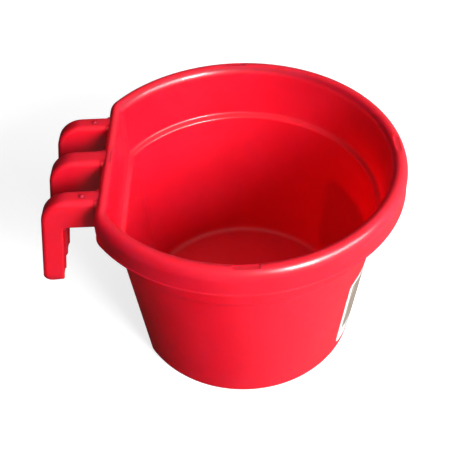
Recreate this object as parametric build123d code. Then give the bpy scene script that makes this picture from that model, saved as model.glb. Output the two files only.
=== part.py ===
"""Hook-over livestock bucket: a D-shaped moulded plastic tub that hangs from a rail or board.

Frame: the origin is on the underside, below the centre of the round front of the rim.
+Z is up, +Y points to the flat back with the hooks, and -Y to the round front.
All lengths are in millimetres and all angles in degrees.
"""
import os
from math import atan2, cos, degrees, pi, radians, sin, sqrt, tan
from typing import NamedTuple

from build123d import *

# ---- driving dimensions -------------------------------------------------
HEIGHT = 215.0                # underside to the top of the rim
WALL = 2.5                    # moulded wall thickness

# The plan outline at any height is a circle cut by a flat back, with round corners.
RIM_RADIUS = 150.0
RIM_FLAT = 125.0              # from the circle's centre to the flat back
RIM_CORNER = 20.0
SKIRT_DEPTH = 26.5            # turned-down edge of the rim
SKIRT_FLARE = 0.8             # the skirt stands out this much more at its lower edge
CREST_OUTER_ROUND = 7.6
CREST_INNER_ROUND = 4.2

COLLAR_TOP_RADIUS = 137.3     # outside of the upper band of the wall
COLLAR_TOP_FLAT = 115.6
COLLAR_LOW_RADIUS = 134.8
COLLAR_LOW_FLAT = 115.0
LEDGE_TOP = 161.0             # inside, where the collar meets the ledge
LEDGE_DROP = 3.0              # the ledge slopes down to the cone by this much
CONE_TOP_RADIUS = 129.6       # outside of the lower wall, under the ledge
CONE_TOP_FLAT = 109.8
BASE_RADIUS = 115.0
BASE_FLAT = 98.5
WALL_CORNER = 18.6

FLOOR_TOP = 3.5               # height of the floor inside
BASE_EDGE_ROUND = 6.5
FLOOR_EDGE_ROUND = 8.0
FOOT_WIDTH = 11.0             # the part of the underside that the bucket stands on, with its edge
FOOT_DEPTH = 1.0              # the rest of the underside is raised by this much
CENTRE_PAD_RADIUS = 14.0      # round the moulding gate, level with the foot

NOTCH_LENGTH = 22.0           # shallow marks on the crest at the front and both sides
NOTCH_WIDTH = 5.0
NOTCH_DEPTH = 1.2
NOTCH_INSET = 7.6             # from the rim's outer edge to the middle of a mark

HOOK_PITCH = 52.5
HOOK_REACH = 51.2             # flange to the outer face of the leg, at the top bend
HOOK_BEND = 26.5              # outer radius of the bend
HOOK_INNER_BEND = 5.0
HOOK_SPLAY = 10.0             # the leg leans outwards by this angle
HOOK_SKIN = 3.0
HOOK_SIDE_WALL = 3.2
HOOK_EDGE_ROUND = 2.0
HOOK_END_WALL = 3.0           # closes the channel at the leg's end
RIB_END = RIM_FLAT - 9.0      # the arm's side walls run on under the flange to the collar


class Hook(NamedTuple):
    """The sizes in which the middle hook differs from the outer ones."""
    width: float
    top: float
    arm_depth: float
    end_height: float           # the height of the leg's end
    thickness: float            # of the leg, from its outer face to its open side
    outer_end: float            # the outer and inner radius of the leg's end
    inner_end: float


OUTER_HOOK = Hook(18.0, HEIGHT - 1.5, 30.0, 118.2, 19.7, 4.0, 1.0)
MIDDLE_HOOK = Hook(20.0, HEIGHT - 0.7, 37.8, 93.0, 16.0, 4.0, 7.0)

PIP_RADIUS = 2.6
PIP_HEIGHT = 1.4
PIP_OFFSET = 12.0             # from the flange to a pip, on the two outer hooks

LABEL_HALF_ANGLE = 39.0       # how far the label reaches round the front to each side
LABEL_LOW = 16.0
LABEL_HIGH = 112.0
LABEL_THICKNESS = 0.3
LABEL_CORNER = 10.0

# ---- values worked out from them ---------------------------------------
SKIRT_LOW = HEIGHT - SKIRT_DEPTH
CONE_TOP = LEDGE_TOP - LEDGE_DROP - WALL
COLLAR_LOW = LEDGE_TOP - WALL


def between(start, end, share):
    """The value that lies the given share of the way from start to end."""
    return start + (end - start) * share


def d_face(radius, flat, corner, height):
    """The D-shaped plan outline at one height: a round front, a flat back and round corners."""
    corner_y = flat - corner
    corner_x = sqrt((radius - corner) ** 2 - corner_y ** 2)
    stretch = radius / (radius - corner)
    tangent = (corner_x * stretch, corner_y * stretch)
    middle = radians(degrees(atan2(corner_y, corner_x)) / 2 + 45)
    corner_middle = (corner_x + corner * cos(middle), corner_y + corner * sin(middle))
    side = (radius * cos(-pi / 4), radius * sin(-pi / 4))
    front = (0, -radius)
    with BuildSketch(Plane.XY.offset(height)) as sketch:
        with BuildLine():
            ThreePointArc(front, side, tangent)
            ThreePointArc(tangent, corner_middle, (corner_x, flat))
            Line((corner_x, flat), (-corner_x, flat))
            ThreePointArc((-corner_x, flat), (-corner_middle[0], corner_middle[1]), (-tangent[0], tangent[1]))
            ThreePointArc((-tangent[0], tangent[1]), (-side[0], side[1]), front)
        make_face()
    return sketch.sketch.faces()[0]


def d_block(low, high, inset=0.0):
    """A tapering D-shaped block between two outlines, each (radius, flat, corner, height)."""
    faces = []
    for radius, flat, corner, height in (low, high):
        faces.append(d_face(radius - inset, flat - inset, corner - inset, height))
    return Solid.make_loft([face.outer_wire() for face in faces], ruled=True)


def edges_at(solid, height, radius_range):
    """The edges of a solid that lie at one height and this far out from the Z axis."""
    found = []
    for edge in solid.edges():
        box = edge.bounding_box()
        if abs(box.min.Z - height) > 0.01 or abs(box.max.Z - height) > 0.01:
            continue
        reach = max(sqrt(point.X ** 2 + point.Y ** 2) for point in (edge @ 0, edge @ 0.5, edge @ 1))
        if radius_range[0] <= reach <= radius_range[1]:
            found.append(edge)
    return found


def cone_outline(height):
    """The outside of the lower wall at a height, as (radius, flat, corner, height)."""
    share = height / CONE_TOP
    radius = between(BASE_RADIUS, CONE_TOP_RADIUS, share)
    flat = between(BASE_FLAT, CONE_TOP_FLAT, share)
    return (radius, flat, WALL_CORNER, height)


def make_rim():
    """The turned-over flange, open underneath, before the bowl's inside is cut away."""
    low = (RIM_RADIUS + SKIRT_FLARE, RIM_FLAT + SKIRT_FLARE, RIM_CORNER + SKIRT_FLARE, SKIRT_LOW)
    high = (RIM_RADIUS, RIM_FLAT, RIM_CORNER, HEIGHT)
    outside = d_block(low, high)
    outside = outside.fillet(CREST_OUTER_ROUND, edges_at(outside, HEIGHT, (0, 999)))
    void_high = (RIM_RADIUS, RIM_FLAT, RIM_CORNER, HEIGHT - WALL)
    void = d_block(low, void_high, inset=WALL)
    void = void.fillet(CREST_OUTER_ROUND - WALL, edges_at(void, HEIGHT - WALL, (0, 999)))
    return outside - void


def make_wall_outside():
    """The outside of the bowl: a cone, a sloping step and an upper collar."""
    cone = d_block(cone_outline(0), cone_outline(CONE_TOP))
    cone = cone.fillet(BASE_EDGE_ROUND, edges_at(cone, 0, (0, 999)))
    collar_low = (COLLAR_LOW_RADIUS, COLLAR_LOW_FLAT, WALL_CORNER, COLLAR_LOW)
    collar_high = (COLLAR_TOP_RADIUS, COLLAR_TOP_FLAT, WALL_CORNER, HEIGHT - WALL)
    step = d_block(cone_outline(CONE_TOP), collar_low)
    return cone + step + d_block(collar_low, collar_high)


def make_wall_inside():
    """The space inside the bowl, which is cut out of the wall and the rim."""
    floor = cone_outline(FLOOR_TOP)
    ledge_low = (CONE_TOP_RADIUS, CONE_TOP_FLAT, WALL_CORNER, CONE_TOP + WALL)
    ledge_high = (COLLAR_LOW_RADIUS, COLLAR_LOW_FLAT, WALL_CORNER, LEDGE_TOP)
    top = (COLLAR_TOP_RADIUS, COLLAR_TOP_FLAT, WALL_CORNER, HEIGHT)
    cone = d_block(floor, ledge_low, inset=WALL)
    cone = cone.fillet(FLOOR_EDGE_ROUND, edges_at(cone, FLOOR_TOP, (0, 999)))
    step = d_block(ledge_low, ledge_high, inset=WALL)
    return cone + step + d_block(ledge_high, top, inset=WALL)


def make_notch():
    """One shallow mark with rounded ends, lying along X at the origin."""
    with BuildSketch() as sketch:
        RectangleRounded(NOTCH_LENGTH, NOTCH_WIDTH, 1.0)
    return extrude(sketch.sketch, amount=2 * NOTCH_DEPTH)


def make_bowl():
    """The tub with its rim: everything of the moulding except the hooks."""
    bowl = make_rim() + make_wall_outside() - make_wall_inside()
    inner_radius = COLLAR_TOP_RADIUS - WALL
    crest = edges_at(bowl, HEIGHT, (COLLAR_TOP_FLAT - WALL - 1, inner_radius + 0.5))
    bowl = bowl.solid().fillet(CREST_INNER_ROUND, crest)

    foot = d_face(BASE_RADIUS - FOOT_WIDTH, BASE_FLAT - FOOT_WIDTH, WALL_CORNER - FOOT_WIDTH / 2, 0)
    bowl -= extrude(foot - Circle(CENTRE_PAD_RADIUS), amount=FOOT_DEPTH)

    reach = RIM_RADIUS - NOTCH_INSET
    for turn in (0, 90, -90):
        bowl -= Rot(0, 0, turn) * Pos(0, -reach, HEIGHT - NOTCH_DEPTH) * make_notch()
    return bowl.solid()


def hook_profile(hook, skin):
    """The side view of a hook in the YZ plane, or with a skin the space inside its shell."""
    lean = radians(HOOK_SPLAY)
    bend = HOOK_BEND - skin
    bend_y = RIM_FLAT + HOOK_REACH - HOOK_BEND
    bend_z = hook.top - HOOK_BEND
    high = hook.top - skin
    leg_start = (bend_y + bend * cos(lean), bend_z + bend * sin(lean))
    bend_middle = (
        bend_y + bend * cos(radians(45 + HOOK_SPLAY / 2)),
        bend_z + bend * sin(radians(45 + HOOK_SPLAY / 2)),
    )
    open_run = skin * 3                             # the space is open below the arm and inwards
    end = hook.end_height + (HOOK_END_WALL if skin else 0)
    underside = hook.top - hook.arm_depth - open_run
    width = hook.thickness / cos(lean) + open_run

    outer_low = (leg_start[0] + (leg_start[1] - end) * tan(lean), end)
    inner_low = (outer_low[0] - width, end)
    inner_high = (inner_low[0] - (underside - end) * tan(lean), underside)
    with BuildSketch(Plane.YZ) as sketch:
        with BuildLine():
            Line((RIB_END, high), (bend_y, high))
            ThreePointArc((bend_y, high), bend_middle, leg_start)
            Polyline(leg_start, outer_low, inner_low, inner_high, (RIB_END, underside))
            Line((RIB_END, underside), (RIB_END, high))
        make_face()
        if skin == 0:
            rounds = (
                (outer_low, hook.outer_end),
                (inner_low, hook.inner_end),
                (inner_high, HOOK_INNER_BEND),
            )
            for corner, radius in rounds:
                fillet(sketch.vertices().sort_by_distance(corner)[0], radius)
    return sketch.sketch


def make_hook(hook, has_pip, x, bowl):
    """One hook as an open channel at this X, cut to meet the rim and the collar."""
    body = extrude(hook_profile(hook, 0), amount=hook.width / 2, both=True).solid()
    outline = []
    for edge in body.edges():
        at_root = (edge @ 0.5).Y < RIB_END + 1
        if edge.bounding_box().size.X < 0.01 and not at_root:
            outline.append(edge)
    body = body.fillet(HOOK_EDGE_ROUND, outline)
    body -= extrude(hook_profile(hook, HOOK_SKIN), amount=hook.width / 2 - HOOK_SIDE_WALL, both=True)
    if has_pip:
        place = Pos(0, RIM_FLAT + PIP_OFFSET, hook.top + PIP_HEIGHT - PIP_RADIUS)
        cap = Pos(0, RIM_FLAT + PIP_OFFSET, hook.top) * Box(9, 9, 2 * PIP_HEIGHT + 1)
        body += place * Sphere(PIP_RADIUS) & cap
    return (Pos(x, 0, 0) * body - bowl).solid()


def make_label():
    """A thin film with rounded corners, wrapped round the front of the cone."""
    low_half = cone_outline(LABEL_LOW)[0] * sin(radians(LABEL_HALF_ANGLE))
    high_half = cone_outline(LABEL_HIGH)[0] * sin(radians(LABEL_HALF_ANGLE))
    with BuildSketch(Plane.XZ) as sketch:
        Polygon(
            (-low_half, LABEL_LOW), (low_half, LABEL_LOW), (high_half, LABEL_HIGH), (-high_half, LABEL_HIGH),
            align=None,
        )
        fillet(sketch.vertices(), LABEL_CORNER)
    punch = extrude(sketch.sketch, amount=2 * BASE_RADIUS)
    low = cone_outline(LABEL_LOW - LABEL_CORNER)
    high = cone_outline(LABEL_HIGH + LABEL_CORNER)
    film = d_block(low, high, inset=-LABEL_THICKNESS) - d_block(low, high)
    return (film & punch).solid()


def main():
    """Build each node and write it to its own STEP file."""
    os.makedirs("parts", exist_ok=True)
    bowl = make_bowl()
    nodes = {
        "bucket_bowl": bowl,
        "hook_left": make_hook(OUTER_HOOK, True, HOOK_PITCH, bowl),
        "hook_middle": make_hook(MIDDLE_HOOK, False, 0, bowl),
        "hook_right": make_hook(OUTER_HOOK, True, -HOOK_PITCH, bowl),
        "label": make_label(),
    }
    for name, shape in nodes.items():
        export_step(shape, f"parts/{name}.step")


main()
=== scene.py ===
"""The looks of a hook-over livestock bucket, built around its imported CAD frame.

Frame: +Z is up, +Y points to the flat back with the hooks, -Y to the round front with the label.
Outlines and profiles are worked out in millimetres, and every mesh is made in metres.
"""

from math import atan2, cos, pi, radians, sin, sqrt, tan

import bmesh
import bpy
import numpy as np
from mathutils import Matrix, Vector


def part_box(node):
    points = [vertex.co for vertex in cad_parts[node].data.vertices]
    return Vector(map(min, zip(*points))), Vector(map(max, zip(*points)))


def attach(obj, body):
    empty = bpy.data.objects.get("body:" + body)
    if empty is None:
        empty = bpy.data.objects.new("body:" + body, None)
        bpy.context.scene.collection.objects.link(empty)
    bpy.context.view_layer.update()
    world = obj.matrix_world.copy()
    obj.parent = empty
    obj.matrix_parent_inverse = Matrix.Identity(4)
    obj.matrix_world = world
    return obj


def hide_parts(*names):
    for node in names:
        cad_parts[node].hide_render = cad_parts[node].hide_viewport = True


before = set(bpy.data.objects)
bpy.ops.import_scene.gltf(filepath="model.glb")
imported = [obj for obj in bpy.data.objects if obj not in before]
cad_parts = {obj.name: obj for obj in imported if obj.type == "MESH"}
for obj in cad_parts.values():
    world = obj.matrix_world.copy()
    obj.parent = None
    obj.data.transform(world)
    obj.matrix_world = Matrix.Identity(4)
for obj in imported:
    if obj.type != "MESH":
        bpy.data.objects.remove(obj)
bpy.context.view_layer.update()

# ---- sizes in millimetres, from the frame where it holds them ------------
MM = 0.001
BOWL_LOW, BOWL_HIGH = (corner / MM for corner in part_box("bucket_bowl"))
HEIGHT = BOWL_HIGH.z
WALL = 2.5
SKIRT_FLARE = 0.8             # the skirt stands out this much more at its lower edge
RIM_RADIUS = BOWL_HIGH.x - SKIRT_FLARE
RIM_FLAT = BOWL_HIGH.y - SKIRT_FLARE
RIM_CORNER = 20.0
SKIRT_LOW = HEIGHT - 26.5
LIP_HEIGHT = 2.6              # a small lip runs round the skirt's lower edge
LIP_DEPTH = 0.6
CREST_OUTER_DROP = 10.5       # the rounded crest starts this far below the top, outside
CREST_INNER_DROP = 10.0       # and inside
CREST_TOP_SHARE = 0.48        # where across the flange the crest is highest

COLLAR_TOP = (137.3, 115.6)   # outside of the upper band of the wall: radius, flat
COLLAR_LOW = (134.8, 115.0)
LEDGE_TOP = 161.0
LEDGE_DROP = 3.0
CONE_TOP = (129.6, 109.8)     # outside of the lower wall, under the ledge
BASE = (115.0, 98.5)
WALL_CORNER = 18.6
FLOOR_TOP = 3.5
FOOT_WIDTH = 11.0
FOOT_DEPTH = 1.0
PAD_RADIUS = 14.0

NOTCH_SIZE = (22.0, 5.0, 1.2)
NOTCH_INSET = 7.6

LEFT_LOW, LEFT_HIGH = (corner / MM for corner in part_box("hook_left"))
MIDDLE_LOW, MIDDLE_HIGH = (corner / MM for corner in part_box("hook_middle"))
HOOK_PITCH = (LEFT_HIGH.x + LEFT_LOW.x) / 2
PIP_HEIGHT = 1.4
HOOK_REACH = 51.0
HOOK_BEND = 26.5
HOOK_INNER_BEND = 5.0
HOOK_SPLAY = radians(10.0)
HOOK_SKIN = 3.0
HOOK_SIDE_WALL = 3.2
HOOK_END_WALL = 3.0
HOOK_EDGE = 4.5               # round of the two long upper edges
HOOK_LOWER_EDGE = 2.0
HOOK_INNER_EDGE = 1.5         # round inside the channel
HOOK_DRAFT = 0.5              # each side wall leans in by this much towards its open edge
HOOK_ROOT = RIM_FLAT - 9.0    # the arm starts inside the rim
END_STEP, END_GAP = 0.1, 0.8  # the channel ends in a step, this far inside the open side
ROOT_FILLET = 1.6
# A hook's width, top, arm depth, height of the leg's end, thickness of the leg, and the outer and
# inner radius of its end.
OUTER_HOOK = (LEFT_HIGH.x - LEFT_LOW.x, LEFT_HIGH.z - PIP_HEIGHT, 30.0, LEFT_LOW.z, 19.7, 4.0, 1.0)
MIDDLE_HOOK = (MIDDLE_HIGH.x - MIDDLE_LOW.x, MIDDLE_HIGH.z, 37.8, MIDDLE_LOW.z, 16.0, 4.0, 7.0)
PIP_RADIUS = 2.6
PIP_OFFSET = 12.0

LABEL_LOW, LABEL_HIGH = (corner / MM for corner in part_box("label"))
LABEL_HALF_ANGLE = radians(39.0)
LABEL_CORNER = 7.0
LABEL_THICKNESS = 0.2

BRIGHT_SIDE = (-0.35, -0.85, 0.40)    # the direction from which the surrounding is brightest
DARK_LEVEL, BRIGHT_LEVEL = 0.02, 0.6
DARK_FACING = -0.4            # at this cosine to the bright side, and beyond, it is darkest

# ---- stage, in metres ------------------------------------------------------
PANEL_DISTANCE = 1.6
# A panel's name, azimuth and elevation in degrees, size, and radiance.
PANELS = (
    ("key_panel", -146, 27, (0.48, 0.62), 40),
    ("wide_panel", -118, 27, (0.90, 0.62), 10),
    ("narrow_panel", -159, 27, (0.06, 0.60), 14),
)
PANEL_AIM = 0.8               # the panels face this share of the bucket's height
FLOOR_RADIUS = 4.0            # of the flat part
COVE_RADIUS = 9.0             # of the dome that the floor turns up into
COVE_TOP, COVE_BASE = 1.5, 0.35       # angles above the ground where the dome starts and ends
FLOOR_GLOW = 0.75
FLOOR_GAP = 0.0002            # the floor lies this far below the foot

# The camera's place, and its right and up directions, at the photograph's angle.
CAMERA_PLACE = (-0.5104, 0.0108, 0.6220)
CAMERA_RIGHT = (-0.0230, -0.9991, -0.0347)
CAMERA_UP = (0.7005, -0.0408, 0.7124)
SENSOR_WIDTH, LENS = 36, 57.6  # millimetres

# ---- mesh density ----------------------------------------------------------
ARC_COLUMNS, CORNER_COLUMNS, FLAT_COLUMNS = 264, 20, 24
BEND_ROWS = 28
LABEL_COLUMNS = 97


# ---- outlines and profiles -------------------------------------------------
def between(start, end, share):
    """The value that lies the given share of the way from start to end."""
    return start + (end - start) * share


def outline(pair, height, inset=0.0, corner=WALL_CORNER):
    """One D-shaped outline as an array of radius, flat, corner radius and height."""
    radius, flat = pair
    return np.array([radius - inset, flat - inset, corner - inset, height], float)


def ring_points(values):
    """The points of a D-shaped outline, turning clockwise from the middle of the flat back."""
    radius, flat, corner, height = values
    corner_y = flat - corner
    corner_x = sqrt((radius - corner) ** 2 - corner_y ** 2)
    start = atan2(corner_y, corner_x)
    half_flat = np.linspace(0, corner_x, FLAT_COLUMNS // 2, endpoint=False)
    turn = np.linspace(pi / 2, start, CORNER_COLUMNS, endpoint=False)
    front = np.linspace(start, -pi / 2, ARC_COLUMNS // 2, endpoint=False)
    x = [half_flat, corner_x + corner * np.cos(turn), radius * np.cos(front)]
    y = [np.full(len(half_flat), flat), corner_y + corner * np.sin(turn), radius * np.sin(front)]
    right = np.stack([np.concatenate(x), np.concatenate(y)], axis=1)
    left = right[1:][::-1] * (-1, 1)
    loop = np.concatenate([right, [(0, -radius)], left])
    return np.column_stack([loop, np.full(len(loop), height)])


def rounded(knots, steps=7):
    """A line through the knots, each (values, cut), with every corner rounded over its cut."""
    line = []
    for i, (values, cut) in enumerate(knots):
        if cut == 0:
            line.append(values)
            continue
        ends = []
        for other in (knots[i - 1][0], knots[i + 1][0]):
            gap = other - values
            ends.append(values + gap * cut / np.hypot(gap[0], gap[-1]))
        for t in np.linspace(0, 1, steps + 1):
            line.append((1 - t) ** 2 * ends[0] + 2 * t * (1 - t) * values + t ** 2 * ends[1])
    return line


def supported(line, near=(0.5, 2.0, 6.0), step=12.0):
    """The same line with points added near the ends of its long runs, and along them."""
    full = [line[0]]
    for start, end in zip(line, line[1:]):
        run = np.hypot(end[0] - start[0], end[-1] - start[-1])
        marks = [m for m in near if m < run / 2 - 0.2]
        if run > 2 * step:
            marks += list(np.linspace(step, run - step, int(run / step)))
        marks += [run - m for m in near[::-1] if m < run / 2 - 0.2]
        full += [between(start, end, m / run) for m in marks] if run > 1.5 else []
        full.append(end)
    return full


def crest_line():
    """The rounded top of the rim, from the outside to the inside."""
    outer = outline((RIM_RADIUS, RIM_FLAT), HEIGHT, corner=RIM_CORNER)
    inner = outline(COLLAR_TOP, HEIGHT, WALL)
    line = []
    for angle in np.linspace(0, pi / 2, 13):
        point = between(outer, inner, CREST_TOP_SHARE * (1 - cos(angle)))
        point[3] = HEIGHT - CREST_OUTER_DROP * (1 - sin(angle))
        line.append(point)
    for angle in np.linspace(0, pi / 2, 11)[1:]:
        point = between(outer, inner, between(CREST_TOP_SHARE, 1, sin(angle)))
        point[3] = HEIGHT - CREST_INNER_DROP * (1 - cos(angle))
        line.append(point)
    return line


def bowl_line():
    """The bowl's section, from the middle of its underside round the rim to that of its floor."""
    foot = outline(BASE, FOOT_DEPTH, FOOT_WIDTH, WALL_CORNER + FOOT_WIDTH / 2)
    foot_low = foot.copy()
    foot_low[3] = 0
    void_top = outline((RIM_RADIUS, RIM_FLAT), HEIGHT - WALL, WALL, RIM_CORNER)
    skirt = (RIM_RADIUS + SKIRT_FLARE, RIM_FLAT + SKIRT_FLARE)
    skirt_corner = RIM_CORNER + SKIRT_FLARE
    ledge_low = LEDGE_TOP - LEDGE_DROP
    outside = rounded([
        (foot * (0.02, 0.02, 0.02, 1), 0),
        (foot, 0.4),
        (foot_low, 0.4),
        (outline(BASE, 0), 6.0),
        (outline(CONE_TOP, ledge_low - WALL), 1.4),
        (outline(COLLAR_LOW, LEDGE_TOP - WALL), 1.4),
        (outline(COLLAR_TOP, HEIGHT - WALL), 1.6),
        (void_top, 5.0),
        (outline(skirt, SKIRT_LOW, WALL, skirt_corner), 0.9),
        (outline(skirt, SKIRT_LOW, 0, skirt_corner), 0.7),
        (outline(skirt, SKIRT_LOW + LIP_HEIGHT * 0.5, 0, skirt_corner), 0.5),
        (outline(skirt, SKIRT_LOW + LIP_HEIGHT, LIP_DEPTH, skirt_corner), 0.6),
        (outline((RIM_RADIUS, RIM_FLAT), HEIGHT - CREST_OUTER_DROP, corner=RIM_CORNER), 0),
    ])
    floor_share = FLOOR_TOP / (ledge_low - WALL)
    floor_pair = tuple(between(low, high, floor_share) for low, high in zip(BASE, CONE_TOP))
    floor = outline(floor_pair, FLOOR_TOP, WALL)
    inside = rounded([
        (crest_line()[-1], 0),
        (outline(COLLAR_LOW, LEDGE_TOP, WALL), 1.8),
        (outline(CONE_TOP, ledge_low, WALL), 1.6),
        (floor, 8.0),
        (floor * (0.02, 0.02, 0.02, 1), 0),
    ])
    return supported(outside[:-1] + crest_line() + inside[1:])


# ---- meshes ----------------------------------------------------------------
def new_piece(name, mesh, replaced):
    """Puts a finished mesh in the scene as a piece that rides on the only body."""
    piece = bpy.data.objects.new(name, mesh)
    bpy.context.scene.collection.objects.link(piece)
    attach(piece, "root")
    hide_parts(*replaced)
    return piece


def grid_faces(rows, columns, closed):
    """The quads of a grid of points that is stored row by row."""
    faces = []
    for row in range(rows - 1):
        for column in range(columns if closed else columns - 1):
            after = (column + 1) % columns
            low, high = row * columns, (row + 1) * columns
            faces.append((low + column, low + after, high + after, high + column))
    return faces


def mesh_from(name, points, faces):
    """A smooth mesh from points in millimetres, with its normals facing outwards."""
    mesh = bpy.data.meshes.new(name)
    mesh.from_pydata([Vector(p) * MM for p in points], [], faces)
    work = bmesh.new()
    work.from_mesh(mesh)
    bmesh.ops.remove_doubles(work, verts=work.verts, dist=0.01 * MM)
    bmesh.ops.recalc_face_normals(work, faces=work.faces)
    work.to_mesh(mesh)
    work.free()
    mesh.shade_smooth()
    return mesh


def lathe(line, columns=48):
    """The points and faces of a turned form from (radius, height) pairs that end on its axis."""
    points = []
    for radius, height in line[:-1]:
        for turn in np.linspace(0, 2 * pi, columns, endpoint=False):
            points.append((radius * cos(turn), radius * sin(turn), height))
    first_ring = tuple(range(columns))
    faces = [first_ring] + grid_faces(len(line) - 1, columns, True)
    points.append((0, 0, line[-1][1]))
    base = (len(line) - 2) * columns
    for column in range(columns):
        faces.append((base + column, base + (column + 1) % columns, len(points) - 1))
    return points, faces


def placed(part, x, y, z, flip=False):
    """The same points and faces, moved, and turned upside down first if flip is true."""
    points, faces = part
    side = -1 if flip else 1
    return [(px + x, side * py + y, side * pz + z) for px, py, pz in points], faces


def bowl_skin():
    """The points and faces of the whole bowl as one closed skin."""
    line = bowl_line()
    points = np.concatenate([ring_points(values) for values in line])
    columns = len(points) // len(line)
    faces = grid_faces(len(line), columns, True)
    faces.append(tuple(range(columns)))
    faces.append(tuple(range(len(points) - columns, len(points))))
    return points, faces


def gate_pad():
    """The round pad under the middle of the floor, with the stub that the moulding gate leaves."""
    dimple, stub = 4.0, 1.4
    line = [
        (PAD_RADIUS, -0.6), (PAD_RADIUS, FOOT_DEPTH - 0.35), (PAD_RADIUS - 0.1, FOOT_DEPTH - 0.12),
        (PAD_RADIUS - 0.35, FOOT_DEPTH), (dimple + 0.6, FOOT_DEPTH), (dimple, FOOT_DEPTH - 0.2),
        (dimple - 0.6, FOOT_DEPTH - 0.6), (stub + 0.2, FOOT_DEPTH - 0.6), (stub, FOOT_DEPTH - 0.5),
        (stub, FOOT_DEPTH - 0.2), (stub - 0.2, FOOT_DEPTH - 0.1), (0, FOOT_DEPTH - 0.05),
    ]
    return placed(lathe(line), 0, 0, FOOT_DEPTH, flip=True)


def notch_cutter():
    """Three shallow blocks with rounded ends that cut the marks into the crest."""
    length, width, depth = NOTCH_SIZE
    mesh = bpy.data.meshes.new("notch_cutter")
    work = bmesh.new()
    for turn in (0, pi / 2, -pi / 2):
        made = bmesh.ops.create_cube(work, size=1)["verts"]
        bmesh.ops.scale(work, verts=made, vec=Vector((length, width, 4 * depth)) * MM)
        uprights = [e for e in {e for v in made for e in v.link_edges}
                    if abs(e.verts[0].co.z - e.verts[1].co.z) > depth * MM]
        rounded_box = bmesh.ops.bevel(
            work, geom=uprights, offset=1.2 * MM, segments=4, profile=0.5, affect="EDGES")
        made = {v for f in rounded_box["faces"] for v in f.verts}
        made |= {e.other_vert(v) for v in set(made) for e in v.link_edges}
        place = Matrix.Rotation(turn, 4, "Z") @ Matrix.Translation(
            Vector((0, NOTCH_INSET - RIM_RADIUS, HEIGHT + depth)) * MM)
        bmesh.ops.transform(work, matrix=place, verts=list(made))
    bmesh.ops.recalc_face_normals(work, faces=work.faces)
    work.to_mesh(mesh)
    work.free()
    return mesh


def settled(piece):
    """Puts the result of the piece's modifiers into its own mesh."""
    bpy.context.view_layer.update()
    graph = bpy.context.evaluated_depsgraph_get()
    mesh = bpy.data.meshes.new_from_object(piece.evaluated_get(graph))
    piece.modifiers.clear()
    piece.data = mesh
    return piece


def add_to(piece, name, part):
    """Adds the points and faces of a small form to a piece's mesh."""
    work = bmesh.new()
    work.from_mesh(piece.data)
    work.from_mesh(mesh_from(name, *part))
    work.to_mesh(piece.data)
    work.free()


def smooth(piece, sharp=radians(40)):
    """Shades a piece smoothly, apart from its sharp edges."""
    piece.data.shade_smooth()
    piece.data.set_sharp_from_angle(angle=sharp)


def make_bowl():
    """The tub with its rim, its ledge, its foot and the three marks on the crest."""
    mesh = mesh_from("bucket_shell", *bowl_skin())
    piece = new_piece("bucket_shell", mesh, ["bucket_bowl"])
    cutter = bpy.data.objects.new("cutter", notch_cutter())
    bpy.context.scene.collection.objects.link(cutter)
    cut = piece.modifiers.new("marks", "BOOLEAN")
    cut.operation = "DIFFERENCE"
    cut.solver = "EXACT"
    cut.object = cutter
    settled(piece)
    bpy.data.objects.remove(cutter)
    piece.data.name = "bucket_shell"
    add_to(piece, "gate_pad", gate_pad())
    smooth(piece)
    return piece


def resampled(points, count):
    """The same line as this many points at even distances."""
    points = np.array(points, float)
    run = np.concatenate([[0], np.cumsum(np.linalg.norm(np.diff(points, axis=0), axis=1))])
    marks = np.linspace(0, run[-1], count)
    return np.stack([np.interp(marks, run, points[:, axis]) for axis in (0, 1)], axis=1)


def corner_arc(corner, before, after, radius, count=9):
    """Points on the round of this radius between two directions that meet at a corner."""
    half = (pi - abs(np.arccos(np.clip(np.dot(before, after), -1, 1)))) / 2
    cut = radius / tan(half)
    start, end = corner - before * cut, corner + after * cut
    middle = corner + (after - before) / np.linalg.norm(after - before) * radius / sin(half)
    line = []
    for t in np.linspace(0, 1, count):
        spoke = between(start, end, t) - middle
        line.append(middle + spoke / np.linalg.norm(spoke) * radius)
    return line


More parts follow.
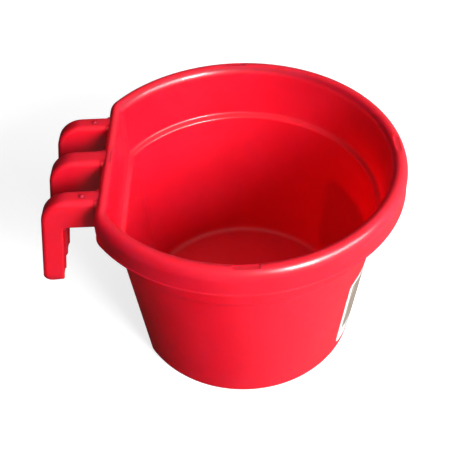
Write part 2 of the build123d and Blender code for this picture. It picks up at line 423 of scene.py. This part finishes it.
def hook_stations(hook):
    """Stations down a hook: outer and inner point in (Y, Z), flare, and depth of the solid web."""
    width, top, arm_depth, end_height, thickness, outer_end, inner_end = hook
    down = np.array([sin(HOOK_SPLAY), -cos(HOOK_SPLAY)])
    outwards = np.array([1.0, 0.0])
    underside = top - arm_depth
    centre = np.array([RIM_FLAT + HOOK_REACH - HOOK_BEND, top - HOOK_BEND])
    leg_start = centre + HOOK_BEND * np.array([cos(HOOK_SPLAY), sin(HOOK_SPLAY)])
    outer_low = leg_start + down * (leg_start[1] - end_height) / cos(HOOK_SPLAY)
    inner_low = outer_low - outwards * thickness / cos(HOOK_SPLAY)
    inner_high = inner_low - down * (underside - end_height) / cos(HOOK_SPLAY)
    arm = [(HOOK_ROOT, ROOT_FILLET)]
    for angle in np.linspace(0, pi / 2, 7):
        arm.append((RIM_FLAT + ROOT_FILLET * (1 - cos(angle)), ROOT_FILLET * (1 - sin(angle))))
    for y in np.linspace(RIM_FLAT + ROOT_FILLET, centre[0], 8)[1:-1]:
        arm.append((y, 0))
    stations = []
    for y, flare in arm:
        stations.append((np.array([y, top]), np.array([y, underside]), flare, HOOK_SKIN))

    inner_bend = corner_arc(inner_high, outwards, down, HOOK_INNER_BEND)
    outer_stop = inner_bend[-1] + thickness * np.array([cos(HOOK_SPLAY), sin(HOOK_SPLAY)])
    angles = np.linspace(pi / 2, HOOK_SPLAY, 40)
    outer_bend = [centre + HOOK_BEND * np.array([cos(a), sin(a)]) for a in angles] + [outer_stop]
    inner_line = [np.array([centre[0], underside])] + inner_bend
    for pair in zip(resampled(outer_bend, BEND_ROWS), resampled(inner_line, BEND_ROWS)):
        stations.append((*pair, 0, HOOK_SKIN))

    outer_round = corner_arc(outer_low, down, -outwards, outer_end)
    inner_round = corner_arc(inner_low, down, outwards, inner_end)
    wall_start = outer_round[0] + down * (outer_end - HOOK_END_WALL)
    wall_inner = inner_round[0] + down * (outer_end - HOOK_END_WALL)
    for share in (0.03, 0.1, 0.3, 0.5, 0.7, 0.9, 1):
        outer = between(outer_stop, wall_start, share)
        inner = between(inner_bend[-1], wall_inner, share)
        stations.append((outer, inner, 0, HOOK_SKIN))
    stations.append((outer + down * END_STEP, inner + down * END_STEP, 0, thickness - END_GAP))
    for outer, inner in zip(outer_round, inner_round):
        stations.append((outer, inner, 0, np.linalg.norm(outer - inner) - END_GAP))
    return stations


def quarter(across, down, radius, start, end, count=7):
    """Points on a quarter round about (across, down), between two angles."""
    turn = np.linspace(start, end, count)
    return [(across + radius * cos(a), down + radius * sin(a)) for a in turn]


def hook_section(full_width, outer, inner, flare, web):
    """One station's closed section: round the outside from below, then back inside the channel."""
    depth = np.linalg.norm(inner - outer)
    drop = (inner - outer) / depth
    half = full_width / 2 + flare
    slot = full_width / 2 - HOOK_SIDE_WALL
    low, edge, inside = HOOK_LOWER_EDGE, HOOK_EDGE, min(HOOK_INNER_EDGE, (depth - web) / 2)
    right = quarter(half - HOOK_DRAFT - low, depth - low, low, pi / 2, 0)
    for share in (0.05, 0.35, 0.65, 0.95):
        right.append((half - HOOK_DRAFT * (1 - share), between(depth - low, edge, share)))
    right += quarter(half - edge, edge, edge, 0, -pi / 2, 9)
    right += [((half - edge) / 2, 0)]
    back = [(slot, depth), (slot, between(depth, web + inside, 0.5))]
    back += quarter(slot - inside, web + inside, inside, 0, -pi / 2, 5)
    loop = right + [(-x, d) for x, d in right[::-1]] + [(-x, d) for x, d in back] + back[::-1]
    return [(x, *(outer + drop * d)) for x, d in loop]


def pip():
    """A small dome with a soft foot, to stand on top of a hook."""
    edge = sqrt(PIP_RADIUS ** 2 - (PIP_RADIUS - PIP_HEIGHT) ** 2)
    line = [(edge + 0.5, -0.3), (edge + 0.45, 0.02), (edge + 0.15, 0.16)]
    slope = atan2(PIP_RADIUS - PIP_HEIGHT, edge)
    for angle in np.linspace(slope + 0.2, pi / 2, 9):
        line.append((PIP_RADIUS * cos(angle), PIP_RADIUS * sin(angle) - PIP_RADIUS + PIP_HEIGHT))
    line[-1] = (0, line[-1][1])
    return lathe(line)


def make_hook(name, node, x, hook, has_pip):
    """One hook: a channel, open below its arm and towards the bucket, closed at the leg's end."""
    sections = [hook_section(hook[0], *station) for station in hook_stations(hook)]
    columns = len(sections[0])
    points = [(px + x, py, pz) for section in sections for px, py, pz in section]
    faces = grid_faces(len(sections), columns, True)
    faces.append(tuple(range(columns)))
    faces.append(tuple(range(len(points) - columns, len(points))))
    piece = new_piece(name, mesh_from(name, points, faces), [node])
    if has_pip:
        add_to(piece, "pip", placed(pip(), x, RIM_FLAT + PIP_OFFSET, hook[1]))
    smooth(piece)
    return piece


def make_label():
    """The film that is wrapped round the front, with a map of its width and height."""
    low, high = LABEL_LOW.z, LABEL_HIGH.z
    cone_top = LEDGE_TOP - LEDGE_DROP - WALL
    turn = np.linspace(0, pi / 2, 12)
    rows = [low + LABEL_CORNER * (1 - cos(a)) for a in turn]
    rows += list(np.linspace(low + LABEL_CORNER, high - LABEL_CORNER, 14)[1:-1])
    rows += [high - LABEL_CORNER * (1 - sin(a)) for a in turn]
    points, places = [], []
    for z in rows:
        radius = between(BASE[0], CONE_TOP[0], z / cone_top) + 0.05
        from_end = min(z - low, high - z, LABEL_CORNER)
        cut = LABEL_CORNER - sqrt(LABEL_CORNER ** 2 - (LABEL_CORNER - from_end) ** 2)
        reach = LABEL_HALF_ANGLE - cut / radius / cos(LABEL_HALF_ANGLE)
        for angle in np.linspace(-reach, reach, LABEL_COLUMNS):
            points.append((radius * sin(angle), -radius * cos(angle), z))
            places.append((angle / LABEL_HALF_ANGLE, (z - low) / (high - low)))
    mesh = mesh_from("label_film", points, grid_faces(len(rows), LABEL_COLUMNS, False))
    if mesh.polygons[LABEL_COLUMNS * 8].normal.y > 0:
        mesh.flip_normals()
    place = mesh.uv_layers.new(name="print")
    for loop in mesh.loops:
        place.data[loop.index].uv = places[loop.vertex_index]
    piece = new_piece("label_film", mesh, ["label"])
    film = piece.modifiers.new("film", "SOLIDIFY")
    film.thickness = LABEL_THICKNESS * MM
    film.offset = 1
    return settled(piece)


# ---- materials ---------------------------------------------------------------
class Shader:
    """A small helper that adds nodes to one material and links them."""

    def __init__(self, name):
        self.material = bpy.data.materials.new(name)
        self.material.use_nodes = True
        self.tree = self.material.node_tree
        self.surface = self.tree.nodes["Principled BSDF"]

    def node(self, kind, **inputs):
        """A node of this kind. Inputs are numbers, colours or sockets, _names are its settings."""
        made = self.tree.nodes.new(kind)
        for key, value in inputs.items():
            if key.startswith("_"):
                setattr(made, key[1:], value)
                continue
            where = int(key[1:]) if key[1:].isdigit() else key.replace("_", " ")
            self.put(made.inputs[where], value)
        return made.outputs

    def put(self, socket, value):
        """Sets an input, or links it if the value is another node's output."""
        if isinstance(value, bpy.types.NodeSocket):
            self.tree.links.new(value, socket)
        else:
            socket.default_value = value

    def math(self, operation, first, second=0.0, third=0.0):
        """The result of one sum on numbers or sockets."""
        return self.node("ShaderNodeMath", _operation=operation, i0=first, i1=second, i2=third)[0]

    def noise(self, place, scale, detail=2.0, roughness=0.5):
        """Noise from 0 to 1 at a place."""
        made = self.node(
            "ShaderNodeTexNoise", Vector=place, Scale=scale, Detail=detail, Roughness=roughness)
        return made["Fac"]

    def ranged(self, value, low, high, to_low=0.0, to_high=1.0):
        """The value taken from one range to another, with its ends held."""
        made = self.node("ShaderNodeMapRange", Value=value)
        ends = {"From Min": low, "From Max": high, "To Min": to_low, "To Max": to_high}
        for key, end in ends.items():
            self.put(made[0].node.inputs[key], end)
        return made[0]

    def mix(self, share, first, second):
        """A colour that lies the given share of the way from first to second."""
        made = self.node("ShaderNodeMix", _data_type="RGBA", i0=share, i6=first, i7=second)
        return made[2]

    def set(self, **inputs):
        """Sets sockets of the surface itself."""
        for key, value in inputs.items():
            self.put(self.surface.inputs[key.replace("_", " ")], value)


def plastic_material():
    """Glossy red polypropylene: faint flow mottle, a fine moulded skin and a dull, rubbed foot."""
    shader = Shader("bucket_plastic")
    place = shader.node("ShaderNodeTexCoord")["Object"]
    height = shader.node("ShaderNodeSeparateXYZ", Vector=place)["Z"]
    mottle = shader.noise(place, 18, 3)
    deep, light = (0.80, 0.005, 0.022, 1), (0.86, 0.008, 0.028, 1)
    base = shader.mix(shader.ranged(mottle, 0.3, 0.7), deep, light)
    rubbed = shader.noise(place, 28, 2)
    foot = shader.ranged(height, 0.0004, 0.0026, 1.0, 0.0)
    worn = shader.math("MULTIPLY", foot, shader.ranged(shader.noise(place, 240, 4), 0.35, 0.6))
    colour = shader.mix(shader.math("MULTIPLY", worn, 0.35), base, (0.86, 0.16, 0.17, 1))
    grain = shader.noise(place, 120, 1)
    gloss = shader.math("MULTIPLY_ADD", grain, 0.10, 0.24)
    dulled = shader.math("ADD", shader.math("MULTIPLY", rubbed, 0.07), gloss)
    scoured = shader.math("MULTIPLY", shader.ranged(height, 0.004, 0.02, 1.0, 0.0), 0.22)
    dulled = shader.math("ADD", dulled, scoured)
    rough = shader.math("ADD", dulled, shader.math("MULTIPLY", worn, 0.3))
    ripple = shader.noise(place, 40, 1)
    peel = shader.noise(place, 170, 0)
    skin = shader.node("ShaderNodeBump", Strength=0.3, Distance=0.00006, Height=peel)["Normal"]
    wave = shader.node("ShaderNodeBump", Strength=0.5, Distance=0.0003, Height=ripple, Normal=skin)
    shader.set(Base_Color=colour, Roughness=rough, Normal=wave["Normal"], IOR=1.49)
    shader.set(Coat_Weight=0.4, Coat_Roughness=0.10, Coat_IOR=1.49)
    shader.set(Subsurface_Weight=0.8, Subsurface_Radius=(1.0, 0.01, 0.01), Subsurface_Scale=0.011)
    return shader.material


def label_material():
    """A printed film: a white border round a brown board-like panel, a red band and plain rules."""
    shader = Shader("label_film")
    place = shader.node("ShaderNodeUVMap", _uv_map="print")["UV"]
    split = shader.node("ShaderNodeSeparateXYZ", Vector=place)
    across, up = split["X"], split["Y"]
    object_place = shader.node("ShaderNodeTexCoord")["Object"]

    def box(left, right, low, high):
        """1 inside a rectangle of the label, and 0 outside."""
        inside = shader.math("COMPARE", across, (left + right) / 2, (right - left) / 2)
        level = shader.math("COMPARE", up, (low + high) / 2, (high - low) / 2)
        return shader.math("MULTIPLY", inside, level)

    boards = shader.node(
        "ShaderNodeTexWave", Vector=object_place, Scale=28.0, Distortion=6.0, Detail=3.0)
    brown = shader.mix(boards["Fac"], (0.22, 0.17, 0.13, 1), (0.36, 0.30, 0.24, 1))
    colour = shader.mix(box(-0.935, 0.935, 0.22, 0.955), (0.80, 0.80, 0.79, 1), brown)
    colour = shader.mix(box(-0.60, 0.60, 0.50, 0.76), colour, (0.55, 0.02, 0.03, 1))
    for low in (0.06, 0.11, 0.16):
        colour = shader.mix(box(-0.80, 0.10, low, low + 0.022), colour, (0.25, 0.25, 0.25, 1))
    rough = shader.math("MULTIPLY_ADD", shader.noise(object_place, 120, 3), 0.2, 0.26)
    creases = shader.noise(object_place, 70, 2)
    bump = shader.node("ShaderNodeBump", Strength=0.4, Distance=0.0002, Height=creases)
    shader.set(Base_Color=colour, Roughness=rough, Normal=bump["Normal"])
    return shader.material


def floor_material():
    """A plain, nearly white floor."""
    shader = Shader("floor_paint")
    place = shader.node("ShaderNodeTexCoord")["Object"]
    tone = shader.mix(shader.noise(place, 3, 2), (0.48, 0.48, 0.48, 1), (0.52, 0.52, 0.52, 1))
    shader.set(Base_Color=tone, Roughness=0.7, Specular_IOR_Level=0.2)
    shader.set(Emission_Color=(1, 1, 1, 1), Emission_Strength=FLOOR_GLOW)
    return shader.material


# ---- floor, light and camera ---------------------------------------------
def make_floor():
    """A wide pale floor that turns up into a dome. Only the camera sees it: it lights nothing."""
    rises = np.linspace(COVE_TOP, COVE_BASE, 24)
    profile = [(COVE_RADIUS * cos(rise), COVE_RADIUS * sin(rise)) for rise in rises]
    level = FLOOR_RADIUS + 0.5 * (profile[-1][0] - FLOOR_RADIUS)
    corner = np.array([profile[-1], (level, 0.0), (FLOOR_RADIUS, 0.0)])
    for t in np.linspace(0, 1, 13)[1:]:
        profile.append((1 - t) ** 2 * corner[0] + 2 * t * (1 - t) * corner[1] + t ** 2 * corner[2])
    line = [(radius / MM, height / MM) for radius, height in profile]
    points, faces = lathe(line + [(0, 0)], 96)
    floor = bpy.data.objects.new("floor", mesh_from("floor", points, faces))
    bpy.context.scene.collection.objects.link(floor)
    floor.data.materials.append(floor_material())
    floor.location.z = BOWL_LOW.z * MM - FLOOR_GAP
    floor.visible_diffuse = False
    floor.visible_glossy = False
    floor.visible_transmission = False
    floor.visible_shadow = False


def make_panel(name, azimuth, elevation, size, radiance):
    """A rectangular soft light that faces the bucket from these angles."""
    light = bpy.data.lights.new(name, "AREA")
    light.shape = "RECTANGLE"
    light.size, light.size_y = size
    light.energy = radiance * pi * size[0] * size[1]
    turn, rise = radians(azimuth), radians(elevation)
    away = Vector((cos(turn) * cos(rise), sin(turn) * cos(rise), sin(rise)))
    panel = bpy.data.objects.new(name, light)
    bpy.context.scene.collection.objects.link(panel)
    panel.location = Vector((0, 0, HEIGHT * PANEL_AIM * MM)) + away * PANEL_DISTANCE
    panel.rotation_euler = away.to_track_quat("Z", "Y").to_euler()


def make_surrounding():
    """An even surrounding that is brightest on the lamps' side and nearly dark on the other."""
    world = bpy.data.worlds.new("surrounding")
    world.use_nodes = True
    tree = world.node_tree
    place = tree.nodes.new("ShaderNodeTexCoord").outputs["Generated"]
    facing = tree.nodes.new("ShaderNodeVectorMath")
    facing.operation = "DOT_PRODUCT"
    facing.inputs[1].default_value = BRIGHT_SIDE
    level = tree.nodes.new("ShaderNodeMapRange")
    tree.links.new(place, facing.inputs[0])
    tree.links.new(facing.outputs["Value"], level.inputs["Value"])
    ends = {
        "From Min": DARK_FACING, "From Max": 1.0, "To Min": DARK_LEVEL, "To Max": BRIGHT_LEVEL}
    for key, value in ends.items():
        level.inputs[key].default_value = value
    background = tree.nodes["Background"]
    background.inputs["Color"].default_value = (1, 1, 1, 1)
    tree.links.new(level.outputs[0], background.inputs["Strength"])
    bpy.context.scene.world = world


def make_lights():
    """The three panels and the surrounding."""
    for panel in PANELS:
        make_panel(*panel)
    make_surrounding()


def make_camera():
    """A camera above the left side of the bucket, which looks down into it."""
    right, up = Vector(CAMERA_RIGHT), Vector(CAMERA_UP)
    turned = Matrix((right, up, right.cross(up))).transposed().to_4x4()
    lens = bpy.data.cameras.new("camera")
    lens.sensor_width = SENSOR_WIDTH
    lens.lens = LENS
    camera = bpy.data.objects.new("camera", lens)
    bpy.context.scene.collection.objects.link(camera)
    camera.matrix_world = Matrix.Translation(CAMERA_PLACE) @ turned
    bpy.context.scene.camera = camera


def main():
    """Build the pieces, give them their materials and set the scene."""
    plastic = plastic_material()
    for piece in (
        make_bowl(),
        make_hook("hook_left_form", "hook_left", HOOK_PITCH, OUTER_HOOK, True),
        make_hook("hook_middle_form", "hook_middle", 0, MIDDLE_HOOK, False),
        make_hook("hook_right_form", "hook_right", -HOOK_PITCH, OUTER_HOOK, True),
    ):
        piece.data.materials.clear()
        piece.data.materials.append(plastic)
    label = make_label()
    label.data.materials.clear()
    label.data.materials.append(label_material())
    make_floor()
    make_lights()
    make_camera()
    bpy.context.scene.view_settings.view_transform = "Standard"


main()
